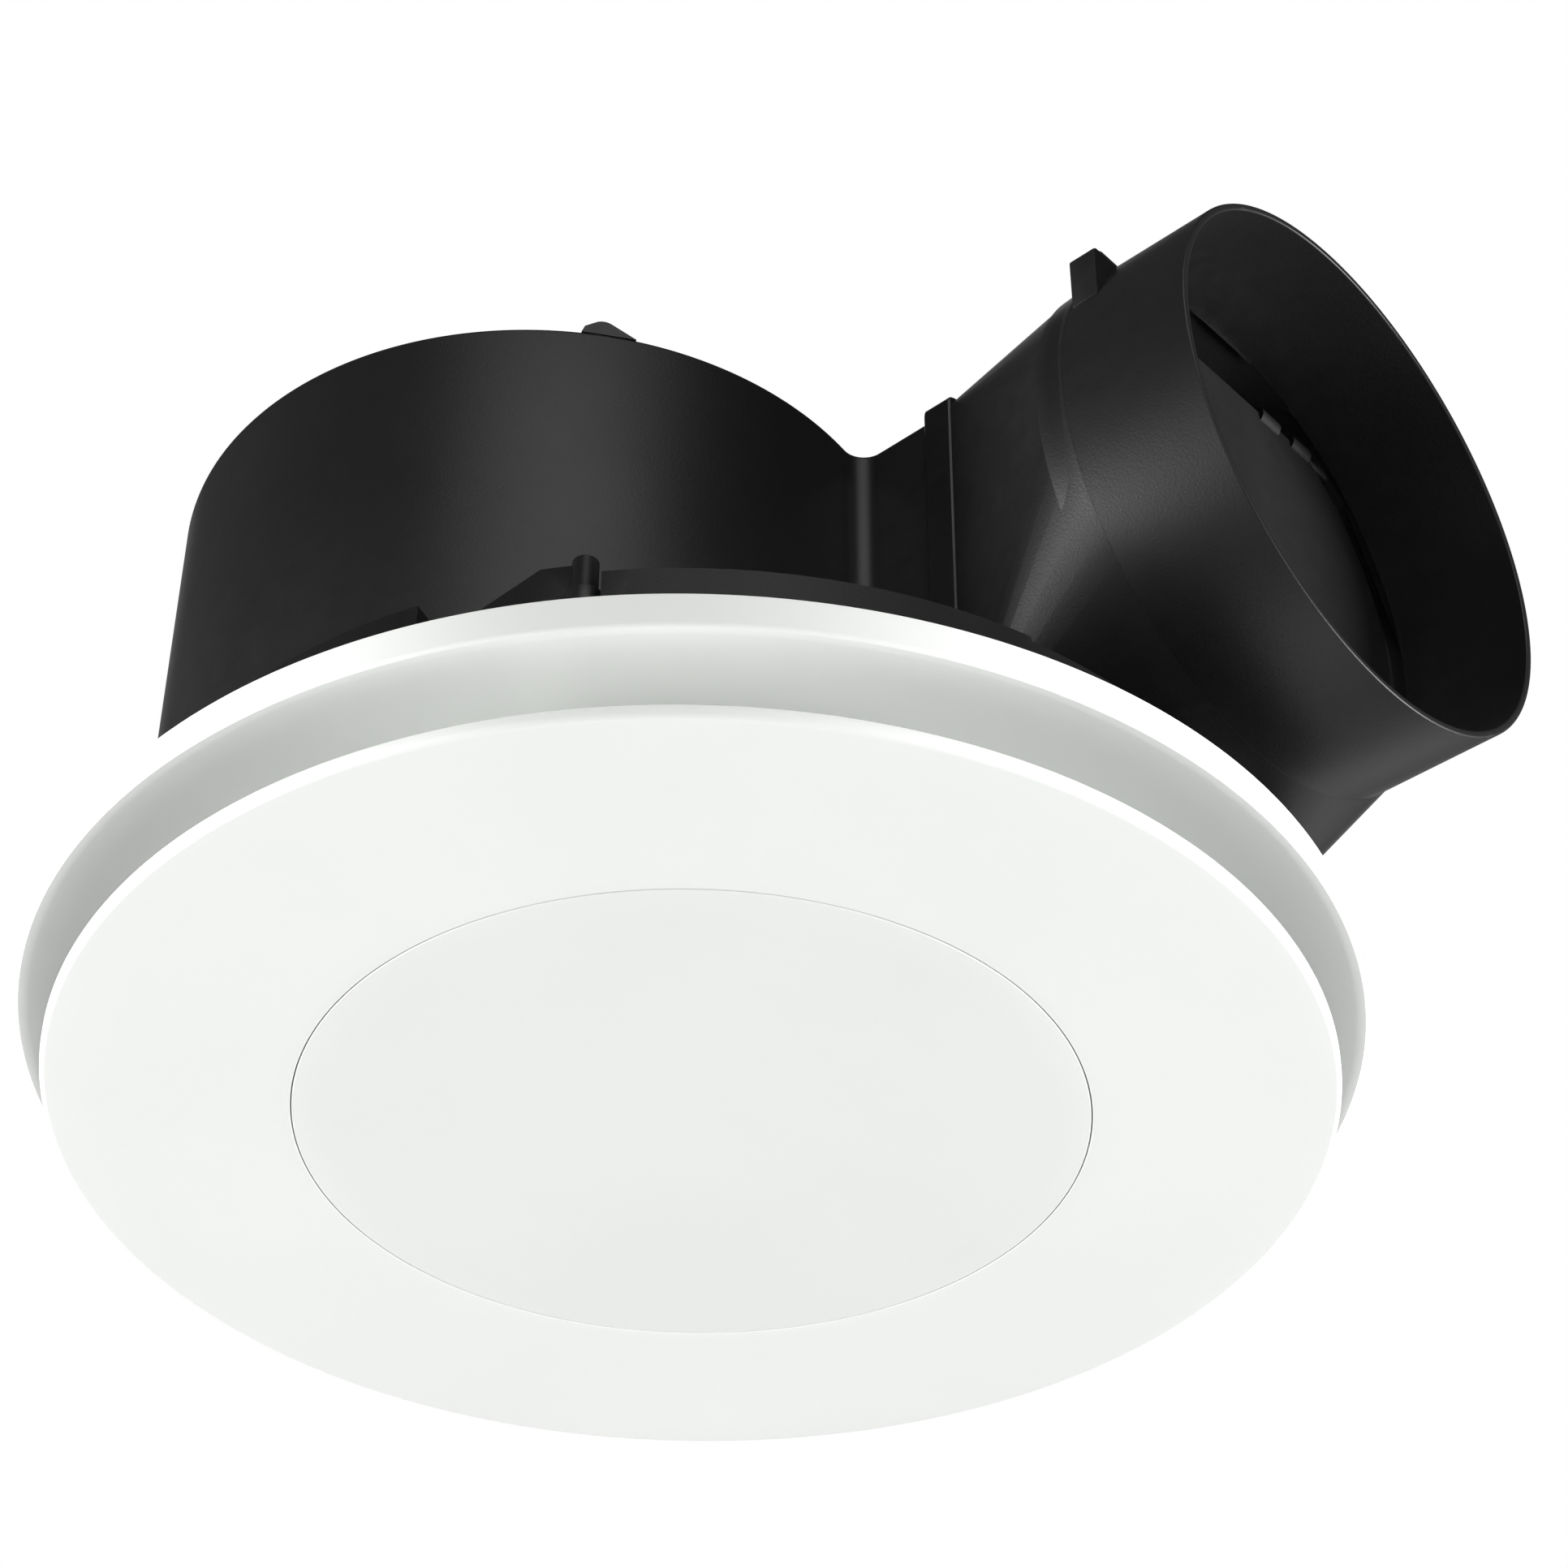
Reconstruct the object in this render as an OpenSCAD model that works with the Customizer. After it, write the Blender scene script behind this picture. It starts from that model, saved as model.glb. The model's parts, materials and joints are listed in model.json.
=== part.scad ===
// Side-ducted bathroom extractor fan with a ceiling light.
// +Z is up. The ceiling's underside is z = 0: the casing stands above it, the white fascia hangs below it.

/* [Fascia] */
// Outer radius of the white ceiling ring
ring_r = 170; // [168:0.5:172]
// Height of the ring's outer wall
ring_h = 9.4; // [8:0.2:11]
// Radius of the hanging disc
disc_r = 161.8; // [158:0.2:163]
// Depth of the disc's face below the ceiling
disc_drop = 28.4; // [26:0.2:32]
// Radius of the round light diffuser
light_r = 99.9; // [80:0.1:102]

/* [Casing] */
// Radius of the collar that goes through the ceiling
collar_r = 150; // [149:0.5:151]
// Height of the top deck above the ceiling
deck_z = 25.5; // [24:0.5:27]
// Radius of the round front of the scroll
can_r = 100.6; // [98:0.2:101]
// Height of the scroll's flat top
can_top = 153; // [150:1:156]
// Wall thickness of the black mouldings
wall = 2.5; // [2:0.1:3]

/* [Duct] */
// Outer radius of the spigot, for 150 mm duct
spigot_r = 74.75; // [74:0.05:75]
// Distance from the impeller axis to the spigot's mouth
mouth_d = 228; // [226:1:240]

/* [Clamps] */
// How far a clamp wing travels down its screw
clamp_travel = 10; // [6:1:10]

/* [Hidden] */
$fn = 96;
eps = 0.01;
// impeller axis, and the turn that puts local X along the duct and local Y across it
axis_x = -44.7;
axis_y = -1.7;
duct_turn = -41.9;
// the scroll grows from can_r at the left to grown_r at the far wall: one larger arc, centre moved by growth
growth = 15.2;
grown_r = can_r + growth;
far_n = growth * sin(-duct_turn) + grown_r;
near_n = 20.6;
// concave fillet where the round front runs into the outlet's near wall
tongue_r = 6;
tongue_n = near_n - tongue_r;
tongue_d = sqrt(pow(can_r + tongue_r, 2) - pow(tongue_n, 2));
tongue_turn = atan2(tongue_n, tongue_d);
stub_start = 108;
stub_end = 131;
stub_floor = 30;
// duct adaptor
sleeve_start = 123.5;
sleeve_end = 132.5;
sleeve_gap = 0.15;
spigot_n = 63.1;
spigot_z = 99.9;
spigot_len = 46;
spigot_stop = 28;
spigot_wall = 2;
// height of the step that a pushed-on duct stops against
stop_step = 0.75;
// places across the duct of the two screws that hold the adaptor
top_screws = [60, 105];
// backdraft flap, measured from the spigot's axis and mouth
hinge_up = 55.5;
hinge_back = 40;
flap_r = 66.5;
seat_r = 63.5;
pin_r = 1.5;
// eye and impeller
throat_r = 58.5;
cage_r = 80;
cage_in = 63;
cage_z0 = 38;
cage_z1 = 118;
blades = 36;
hub_z = 90;
shaft_r = 4;
run_gap = 0.03;
motor_r = 43;
motor_z0 = 96;
motor_z1 = 146;
motor_split = 126;
// clamps
clamp_az = [-99.3, 20.7, 140.7];
clamp_pos = 144.3;
screw_r = 1.9;
bay_from = -15.1;
bay_to = 1.95;
// fascia posts
post_az = [15, 135, -105];
post_pos = 122;
// terminal box, in the duct frame
box_d0 = 2;
box_d1 = 72;
box_n0 = 129;
box_n1 = 163;
box_top = 62;
lead_r = 3;

// ---------- shared shapes ----------
module at_axis() translate([axis_x, axis_y, 0]) children();
// local X along the duct, local Y across it
module duct_frame() at_axis() rotate([0, 0, duct_turn]) children();
// local Z along the duct, starting on the impeller axis; local X points down
module along_duct(d) duct_frame() translate([d, spigot_n, spigot_z]) rotate([0, 90, 0]) children();
module ring(ro, ri, z0, z1) difference() {
  translate([0, 0, z0]) cylinder(r = ro, h = z1 - z0);
  translate([0, 0, z0 - 1]) cylinder(r = ri, h = z1 - z0 + 2);
}
module rod(r, z0, z1) translate([0, 0, z0]) cylinder(r = r, h = z1 - z0);
module block(a, b) translate(a) cube([b[0] - a[0], b[1] - a[1], b[2] - a[2]]);
module polar(r, az) translate([r * cos(az), r * sin(az), 0]) rotate([0, 0, az]) children();
// a pan-head screw, head below, pointing up from z
module screw_up(r, z, len) {
  rod(r, z, z + len);
  rod(2 * r, z - 1.6 * r, z);
}
// the same, head above, pointing down from z
module screw_down(r, z, len) {
  rod(r, z - len, z);
  rod(2 * r, z, z + 1.6 * r);
}
// a ring sector from azimuth a0 to a1 (under 180 degrees), used to cut the clamp bays
module sector(ro, a0, a1, z0, z1) intersection() {
  rod(ro, z0, z1);
  translate([0, 0, z0]) linear_extrude(z1 - z0) polygon([[0, 0],
    [2 * ro * cos(a0), 2 * ro * sin(a0)], [2 * ro * cos((a0 + a1) / 2), 2 * ro * sin((a0 + a1) / 2)],
    [2 * ro * cos(a1), 2 * ro * sin(a1)]]);
}

// ---------- casing ----------
// spots of the screws that hold the scroll down, as [radius, azimuth] about the impeller axis
foot_spots = [[can_r + 4.5, -130], [can_r + 4.5, -95], [can_r + 4.5, -58], [116.2, 100], [124.4, 68]];

// walls and floor of one clamp bay, closed towards the airway
module bay_pocket(a) difference() {
  sector(collar_r, a + bay_from - 1.2, a + bay_to + 1.2, 1.5, deck_z);
  rod(137, -3, deck_z + 1);
}
module base_tray() color([0.13, 0.13, 0.14]) {
  difference() {
    union() {
      ring(163, collar_r - wall, -2, 0);
      ring(collar_r, collar_r - wall, -2, deck_z);
      rod(collar_r, deck_z - wall, deck_z);
      for (a = clamp_az) bay_pocket(a);
      for (a = post_az) polar(post_pos, a) rod(7.5, 8, deck_z - wall + eps);
      at_axis() for (f = foot_spots) polar(f[0], f[1]) rod(4.5, deck_z - 9, deck_z - wall + eps);
    }
    at_axis() rod(73, deck_z - 5, deck_z + 5);
    for (a = clamp_az) {
      difference() {
        sector(160, a + bay_from, a + bay_to, 4.3, deck_z + 1);
        rod(138.9, 0, deck_z + 2);
      }
      polar(clamp_pos, a) rod(screw_r + 0.4, 0, 6);
      // room for the screw head and a driver below the bay floor
      polar(clamp_pos, a) rod(5.2, -3, 1.5);
    }
    for (a = post_az) polar(post_pos, a) rod(4.4, 7, 20);
    // shallow seat for the duct adaptor where it crosses the deck
    duct_frame() block([sleeve_start - 0.5, -10, deck_z - 1.5], [200, 132, deck_z + 1]);
    at_axis() for (a = [60 : 120 : 300]) polar(76.5, a) rod(1.52, 20, deck_z - 0.3);
    at_axis() for (f = foot_spots) polar(f[0], f[1]) rod(1.6, deck_z - 8, deck_z + 1);
  }
}

function turned(p) = [p[0] * cos(duct_turn) - p[1] * sin(duct_turn),
  p[0] * sin(duct_turn) + p[1] * cos(duct_turn)];
// plan outline of the scroll, inset by t: outlet, tongue, round front, growing back, outlet
function scroll_path(t, d1) = concat(
  [turned([d1, near_n + t])],
  [for (k = [0 : 8]) let (a = 90 + k * (90 + tongue_turn) / 8)
    turned([tongue_d + (tongue_r + t) * cos(a), tongue_n + (tongue_r + t) * sin(a)])],
  [for (k = [1 : 50]) let (a = duct_turn + tongue_turn - k * (180 + duct_turn + tongue_turn) / 50)
    [(can_r - t) * cos(a), (can_r - t) * sin(a)]],
  [for (k = [1 : 44]) let (a = 180 - k * (90 - duct_turn) / 44)
    [growth + (grown_r - t) * cos(a), (grown_r - t) * sin(a)]],
  [turned([d1, far_n - t])]);
module scroll_body(t, z0, z1, d1) translate([0, 0, z0]) linear_extrude(z1 - z0) polygon(scroll_path(t, d1));
// the scroll with its outlet stub, whose floor is raised clear of the deck from d0 on
module scroll_solid(t, z0, z1, d0, d1, floor_z) difference() {
  scroll_body(t, z0, z1, d1);
  rotate([0, 0, duct_turn]) block([d0, near_n - 2, z0 - 2], [d1 + 2, far_n + 2, floor_z]);
}
module scroll_housing() color([0.11, 0.11, 0.12]) at_axis() difference() {
  union() {
    scroll_solid(0, deck_z, can_top, stub_start, stub_end, stub_floor);
    for (f = foot_spots) polar(f[0], f[1]) rod(5, deck_z, deck_z + 9);
    // moulded tab on the front rim
    rotate([0, 0, -78]) translate([can_r - 3, 0, can_top - eps]) rotate([90, 0, 90]) linear_extrude(3)
      polygon([[-7, 0], [-6.2, 1.8], [-4, 3.6], [-1, 4.4], [1.5, 4], [7.5, 0]]);
  }
  scroll_solid(wall, deck_z - 1, can_top - wall, stub_start - wall, stub_end + 1, stub_floor + wall);
  for (a = [30, 150, 270]) polar(34, a) rod(2.2, can_top - 4, can_top + 1);
  rotate([0, 0, duct_turn]) translate([20, 60, 0]) rod(5.2, can_top - 4, can_top + 1);
  for (f = foot_spots) polar(f[0], f[1]) rod(1.7, deck_z - 1, deck_z + 10);
  rotate([0, 0, duct_turn]) for (y = top_screws) translate([128, y, 0]) rod(1.42, 145, 160);
}
module housing_screws() color([0.75, 0.75, 0.77]) at_axis() for (f = foot_spots)
  polar(f[0], f[1]) screw_down(1.6, deck_z + 9, 16.5);

module inlet_bellmouth() color([0.2, 0.2, 0.21]) at_axis() difference() {
  rotate_extrude() polygon(concat(
    [for (a = [270 : -10 : 180]) [72 + 13.5 * cos(a), 34.5 + 13.5 * sin(a)]],
    [[throat_r, 41], [throat_r + 2, 41]],
    [for (a = [180 : 10 : 270]) [72 + 11.5 * cos(a), 34.5 + 11.5 * sin(a)]],
    [[80, deck_z - wall], [80, 21]]));
  for (a = [60 : 120 : 300]) polar(76.5, a) rod(1.5, 18, 30);
}
module bellmouth_screws() color([0.75, 0.75, 0.77]) at_axis() for (a = [60 : 120 : 300])
  polar(76.5, a) screw_up(1.5, 21, 4);

// ---------- duct adaptor ----------
module loft(t) hull() {
  duct_frame() translate([sleeve_end - 0.5, 0, 0]) rotate([90, 0, 90]) linear_extrude(0.5) hull()
    for (y = [near_n + 3.2, far_n - 3.2], z = [stub_floor + 3.2, can_top - 3.2])
      translate([y, z]) circle(r = 5.2 - t, $fn = 24);
  along_duct(mouth_d - spigot_len) cylinder(r = spigot_r + stop_step + 0.35 - t, h = 0.5, $fn = 64);
}
module duct_adaptor() color([0.1, 0.1, 0.11]) {
  difference() {
    union() {
      duct_frame() difference() {
        block([sleeve_start, near_n - sleeve_gap - wall, stub_floor - sleeve_gap - wall],
          [sleeve_end, far_n + sleeve_gap + wall, can_top + sleeve_gap + wall]);
        block([sleeve_start - 1, near_n - sleeve_gap, stub_floor - sleeve_gap],
          [stub_end + 0.5, far_n + sleeve_gap, can_top + sleeve_gap]);
        block([sleeve_start, near_n + 1.5, stub_floor + 1.5], [sleeve_end + 1, far_n - 1.5, can_top - 1.5]);
      }
      difference() {
        loft(0);
        loft(2.2);
      }
      along_duct(mouth_d - spigot_len) {
        ring(spigot_r + stop_step, spigot_r - spigot_wall, 0, spigot_len - spigot_stop);
        ring(spigot_r, spigot_r - spigot_wall, spigot_len - spigot_stop - eps, spigot_len);
      }
      // seat for the flap, open at the top where the hinge knuckles are
      along_duct(mouth_d - hinge_back - 2.8) difference() {
        ring(spigot_r - spigot_wall + 0.5, seat_r, 0, 2.4);
        block([-90, -90, -1], [-hinge_up + 6, 90, 4]);
      }
      // bosses that hold the hinge pin
      along_duct(mouth_d - hinge_back) difference() {
        for (s = [-1, 1])
          translate([-hinge_up, s * 51.5, 0]) rotate([90, 0, 0]) cylinder(r = 5.2, h = 9, center = true);
        rod(spigot_r - 0.6, -9, 9);
      }
    }
    along_duct(mouth_d - hinge_back) translate([-hinge_up, 0, 0]) rotate([90, 0, 0])
      cylinder(r = pin_r, h = 108, center = true);
    duct_frame() for (y = top_screws) translate([128, y, 0]) rod(1.42, 145, 160);
  }
}
module adaptor_screws() color([0.75, 0.75, 0.77]) duct_frame() for (y = top_screws)
  translate([128, y, 0]) screw_down(1.4, can_top + wall + sleeve_gap, 5);
module flap_hinge_pin() color([0.78, 0.78, 0.8]) along_duct(mouth_d - hinge_back)
  translate([-hinge_up, 0, 0]) rotate([90, 0, 0]) cylinder(r = pin_r, h = 108, center = true);
module backdraft_flap() color([0.3, 0.31, 0.33]) along_duct(mouth_d - hinge_back) difference() {
  union() {
    difference() {
      rod(flap_r, 0.2, 1.8);
      block([-90, -90, -1], [-hinge_up, 90, 3]);
    }
    for (y = [-34, -20, 20, 34])
      translate([-hinge_up, y, 0]) rotate([90, 0, 0]) cylinder(r = 3, h = 8, center = true);
    // stiffening ribs on the fan side
    for (y = [-27, 0, 27]) block([-44, y - 0.8, -2.2], [44, y + 0.8, 0.3]);
  }
  translate([-hinge_up, 0, 0]) rotate([90, 0, 0]) cylinder(r = pin_r + 0.05, h = 110, center = true);
}

// ---------- motor ----------
module motor_shell(z0, z1, closed_z, ear_z) difference() {
  union() {
    ring(motor_r, motor_r - 2, z0, z1);
    rod(motor_r, closed_z, closed_z + 2);
    translate([0, 0, closed_z == z0 ? z0 : z1 - 9]) cylinder(r = 14, h = 9);
    for (a = [0 : 120 : 240]) rotate([0, 0, a]) {
      translate([motor_r + 4, 0, 0]) rod(4.5, ear_z, ear_z + 4);
      block([motor_r - 1, -4.5, ear_z], [motor_r + 4, 4.5, ear_z + 4]);
    }
  }
  for (a = [0 : 120 : 240]) polar(motor_r + 4, a) rod(1.7, ear_z - 1, ear_z + 6);
  rod(shaft_r + 0.8, z0 - 1, z1 + 1);
  translate([0, 0, closed_z == z0 ? z0 + 2 : z1 - 10]) cylinder(r = 11, h = 8);
  difference() {
    rod(motor_r - 2, z0 + (closed_z == z0 ? 2 : -1), z1 - (closed_z == z0 ? -1 : 2));
    rod(14, z0 - 2, z1 + 2);
  }
}
module lower_motor_shell() color([0.62, 0.63, 0.65]) at_axis() motor_shell(motor_z0, motor_split, motor_z0, motor_split - 4);
module upper_motor_shell() color([0.62, 0.63, 0.65]) at_axis() difference() {
  motor_shell(motor_split, motor_z1, motor_z1 - 2, motor_split);
  for (a = [30, 150, 270]) polar(34, a) rod(1.7, motor_z1 - 4, motor_z1 + 1);
}
module motor_screws() color([0.75, 0.75, 0.77]) at_axis() {
  for (a = [0 : 120 : 240]) polar(motor_r + 4, a) screw_up(1.6, motor_split - 4, 8);
  for (a = [30, 150, 270]) polar(34, a) screw_down(1.6, can_top, 11);
}
module motor_mounts() color([0.08, 0.08, 0.08]) at_axis() for (a = [30, 150, 270])
  polar(34, a) ring(6, 1.7, motor_z1, can_top - wall);
module stator_core() color([0.45, 0.46, 0.48]) at_axis() difference() {
  ring(motor_r - 2.2, 24.6, 109, 133);
  for (a = [0 : 30 : 330]) rotate([0, 0, a]) block([26, -1.5, 100], [35, 1.5, 140]);
}
module motor_windings() color([0.72, 0.4, 0.16]) at_axis() {
  difference() {
    ring(35.5, 25.5, 105.5, 109);
    rod(25.4, 100, 110);
  }
  ring(35.5, 25.5, 133, 136.5);
  for (a = [0 : 30 : 330]) rotate([0, 0, a]) block([26, -1.5, 109], [35, 1.5, 133]);
}
module bearing(z) difference() {
  rod(11, z, z + 7);
  rod(shaft_r + run_gap, z - 1, z + 8);
  for (s = [0, 7]) translate([0, 0, z + s]) rotate_extrude() translate([7.5, 0]) circle(r = 0.8, $fn = 24);
}
module lower_bearing() color([0.8, 0.8, 0.82]) at_axis() bearing(motor_z0 + 2.5);
module upper_bearing() color([0.8, 0.8, 0.82]) at_axis() bearing(motor_z1 - 9.5);
module rotor_core() color([0.5, 0.5, 0.53]) at_axis() difference() {
  union() {
    rod(24.2, 109, 133);
    ring(22, 14, 107, 135);
  }
  rod(shaft_r, 100, 140);
}
module motor_shaft() color([0.82, 0.82, 0.84]) at_axis() rod(shaft_r, 72, 144);

// ---------- impeller ----------
// one forward-curved blade: a thin arc between the cage's inner and outer radius
module blade() {
  arc_r = 14;
  mid = [(cage_in + cage_r) / 2, 0];
  translate([0, 0, cage_z0 + 0.5]) linear_extrude(cage_z1 - cage_z0 - 1) polygon(concat(
    [for (a = [-38 : 12.67 : 38.1]) [mid[0] + arc_r * sin(a), arc_r * cos(a) - 12]],
    [for (a = [38 : -12.67 : -38.1]) [mid[0] + (arc_r - 1.1) * sin(a), (arc_r - 1.1) * cos(a) - 12]]));
}
module impeller() color([0.2, 0.2, 0.22]) at_axis() difference() {
  union() {
    ring(cage_r, cage_in, cage_z0, cage_z0 + 2);
    ring(cage_r, 49, cage_z1 - 2, cage_z1);
    ring(51, 49, hub_z, cage_z1);
    rod(51, hub_z, hub_z + 2);
    rod(11, 82, hub_z + 3);
    for (k = [0 : blades - 1]) rotate([0, 0, k * 360 / blades]) blade();
  }
  rod(shaft_r, 70, 120);
}
module impeller_nut() color([0.8, 0.8, 0.82]) at_axis() difference() {
  translate([0, 0, 76]) cylinder(r = 7.5, h = 6, $fn = 6);
  rod(shaft_r, 70, 90);
}

// ---------- electrical ----------
module terminal_box() color([0.16, 0.16, 0.17]) duct_frame() difference() {
  block([box_d0, box_n0, deck_z], [box_d1, box_n1, box_top - 3]);
  block([box_d0 + 2, box_n0 + 2, deck_z + 2], [box_d1 - 2, box_n1 - 2, box_top]);
  translate([box_d0, 146, 44]) rotate([0, 90, 0]) cylinder(r = 6, h = 10, center = true);
}
module terminal_cover() color([0.16, 0.16, 0.17]) duct_frame() difference() {
  union() {
    block([box_d0, box_n0, box_top - 3], [box_d1, box_n1, box_top]);
    difference() {
      block([box_d0 + 2.2, box_n0 + 2.2, box_top - 6], [box_d1 - 2.2, box_n1 - 2.2, box_top - 3 + eps]);
      block([box_d0 + 4, box_n0 + 4, box_top - 7], [box_d1 - 4, box_n1 - 4, box_top - 3]);
    }
  }
  translate([20, 146, 0]) rod(5.2, 50, 70);
  for (x = [box_d0 + 8, box_d1 - 8]) translate([x, box_n1 - 6, 0]) rod(1.6, 50, 70);
}
module cover_screws() color([0.75, 0.75, 0.77]) duct_frame() for (x = [box_d0 + 8, box_d1 - 8])
  translate([x, box_n1 - 6, 0]) screw_down(1.5, box_top, 8);
module terminal_block() color([0.9, 0.9, 0.86]) duct_frame() difference() {
  block([34, 134, deck_z + 2], [64, 150, deck_z + 16]);
  for (x = [39, 49, 59]) translate([x, 142, 0]) rod(2.2, deck_z + 8, deck_z + 20);
}
module run_capacitor() color([0.86, 0.86, 0.83]) duct_frame()
  block([34, 152, deck_z + 2], [66, 160, deck_z + 24]);
module cable_gland() color([0.1, 0.1, 0.1]) duct_frame() translate([box_d0, 146, 44]) rotate([0, 90, 0])
  difference() {
    union() {
      rod(6, -6, 8);
      translate([0, 0, -5]) cylinder(r = 9, h = 5, $fn = 6);
      rod(8, -18, -5);
      translate([0, 0, 2]) cylinder(r = 9, h = 4, $fn = 6);
    }
    rod(3.9, -19, 9);
  }
// fixed lead from the motor to the terminal box: two risers, two bends and a level run
lead_n0 = 60;
lead_n1 = 146;
lead_bend = 12;
lead_top = 170;
module lead_elbow() rotate([90, 0, 90]) rotate_extrude(angle = 90) translate([lead_bend, 0]) circle(r = lead_r);
module motor_lead() color([0.85, 0.85, 0.85]) duct_frame() translate([20, 0, 0]) {
  translate([0, lead_n0, 0]) rod(lead_r, 148.5, lead_top - lead_bend);
  translate([0, lead_n1, 0]) rod(lead_r, 54, lead_top - lead_bend);
  translate([0, lead_n0 + lead_bend, lead_top]) rotate([-90, 0, 0])
    cylinder(r = lead_r, h = lead_n1 - lead_n0 - 2 * lead_bend);
  translate([0, lead_n0 + lead_bend, lead_top - lead_bend]) mirror([0, 1, 0]) lead_elbow();
  translate([0, lead_n1 - lead_bend, lead_top - lead_bend]) lead_elbow();
}
module grommet(z) difference() {
  union() {
    rod(5.2, z - 4, z + 2);
    rod(7.5, z, z + 2);
  }
  rod(lead_r, z - 5, z + 5);
}
module lead_grommets() color([0.06, 0.06, 0.06]) duct_frame() {
  translate([20, lead_n0, 0]) grommet(can_top);
  translate([20, lead_n1, 0]) grommet(box_top);
}

// ---------- fascia ----------
// underside of the ring: a shallow inverted dish, steepest at its outer crest
dish_in = 131;
dish_out = ring_r - 1.6;
dish_z0 = 4.4;
function dish(r) = -dish_z0 - (ring_h + 0.2 - dish_z0) * pow((r - dish_in) / (dish_out - dish_in), 2);
module ceiling_ring() color([0.95, 0.95, 0.94]) difference() {
  rotate_extrude($fn = 180) polygon(concat(
    [[ring_r, 0], [ring_r, -ring_h + 0.9], [ring_r - 0.5, -ring_h + 0.1]],
    [for (k = [0 : 14]) let (r = dish_out - k * (dish_out - dish_in) / 14) [r, dish(r)]],
    [[115, -dish_z0], [115, -dish_z0 + 2]],
    [for (k = [0 : 12]) let (r = dish_in + k * (167 - dish_in) / 12) [r, dish(r) + 2]],
    [[167.5, -5], [167.5, 0]]));
  for (a = post_az) polar(post_pos, a) rod(4, -10, 2);
}
module fascia_disc() color([0.96, 0.96, 0.95]) difference() {
  rotate_extrude($fn = 180) polygon(concat(
    [[light_r + 0.3, -disc_drop], [disc_r - 1.6, -disc_drop]],
    [for (a = [-80 : 10 : 0]) [disc_r - 1.6 + 1.6 * cos(a), -disc_drop + 1.6 + 1.6 * sin(a)]],
    [[disc_r, -disc_drop + 3.2], [disc_r - 0.4, -disc_drop + 3.6], [light_r + 0.3, -disc_drop + 3.6]]));
  for (a = post_az) polar(post_pos, a) rod(2, -disc_drop + 1.6, 0);
  for (a = [30 : 60 : 330]) polar(108, a) rod(1.52, -disc_drop + 1.5, 0);
}
module light_diffuser() color([0.93, 0.94, 0.92]) {
  rod(light_r, -disc_drop, -disc_drop + 2);
  ring(light_r, light_r - 2, -disc_drop + 1, -disc_drop + 4.6);
  ring(light_r + 1, light_r - 2, -disc_drop + 3.6, -disc_drop + 4.6);
}
module light_pan() color([0.88, 0.88, 0.87]) difference() {
  union() {
    ring(104, 101, -disc_drop + 3.6, -12);
    rod(104, -13.5, -12);
    ring(112, 101, -disc_drop + 3.6, -disc_drop + 5.1);
  }
  for (a = [30 : 60 : 330]) polar(108, a) rod(1.5, -30, 0);
  for (a = [30 : 120 : 270]) polar(70, a) rod(1.5, -20, 0);
}
module led_board() color([0.95, 0.95, 0.93]) difference() {
  union() {
    rod(92, -15, -13.5);
    for (r = [24, 48, 72], a = [0 : 360 / (r / 4) : 359]) polar(r, a) block([-1.8, -1.4, -15.8], [1.8, 1.4, -14.9]);
  }
  for (a = [30 : 120 : 270]) polar(70, a) rod(1.5, -20, 0);
}
module light_screws() color([0.75, 0.75, 0.77]) {
  for (a = [30 : 60 : 330]) polar(108, a) screw_down(1.5, -disc_drop + 5.1, 3.5);
  for (a = [30 : 120 : 270]) polar(70, a) screw_up(1.5, -15, 5);
}
module led_driver() color([0.93, 0.93, 0.93]) difference() {
  block([-45, -18, -12], [45, 18, 6]);
  block([14, -4, 3], [30, 4, 7]);
}
module colour_switch() color([0.1, 0.1, 0.1]) block([20, -3.4, 3.4], [24, 3.4, 8]);
module fascia_posts() color([0.92, 0.92, 0.91]) for (a = post_az) polar(post_pos, a) difference() {
  union() {
    rod(6, -disc_drop + 3.6, -dish_z0);
    rod(2, -disc_drop + 1.6, -disc_drop + 4);
    rod(4, -dish_z0 - eps, 19);
  }
  ring(6, 3.4, 5.4, 7.4);
}
module post_clips() color([0.7, 0.7, 0.72]) for (a = post_az) polar(post_pos, a) difference() {
  ring(6.6, 4.35, 6, 8);
  block([0, -1.2, 5], [9, 1.2, 9]);
}

// ---------- swing clamps ----------
module clamp_screw(k) color([0.78, 0.78, 0.8]) polar(clamp_pos, clamp_az[k]) difference() {
  union() {
    rod(screw_r, 0, 23 + clamp_travel);
    rod(4.2, -0.7, 1.2);
  }
  block([-0.5, -3.6, -2], [0.5, 3.6, 0.3]);
  block([-3.6, -0.5, -2], [3.6, 0.5, 0.3]);
}
module clamp_nut(k) color([0.8, 0.66, 0.32]) polar(clamp_pos, clamp_az[k]) ring(3.3, screw_r + 0.05, 15.6, 20);
module clamp_wing(k) color([0.14, 0.14, 0.15]) polar(clamp_pos, clamp_az[k]) difference() {
  union() {
    rod(4.3, 15.5, 23.5);
    rod(3.2, 23, 33.5);
    wing_plate();
  }
  rod(3.35, 15, 20.3);
  rod(2.3, 15, 34);
}
// the wing lies along the collar, towards falling azimuth, with a sloping top edge
module wing_plate() rotate([90, 0, -90]) translate([0, 0, -2]) linear_extrude(4)
  polygon([[2, 16], [25, 16], [26, 17], [26, 19.2], [10.2, 31.4], [2, 31.6]]);

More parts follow.
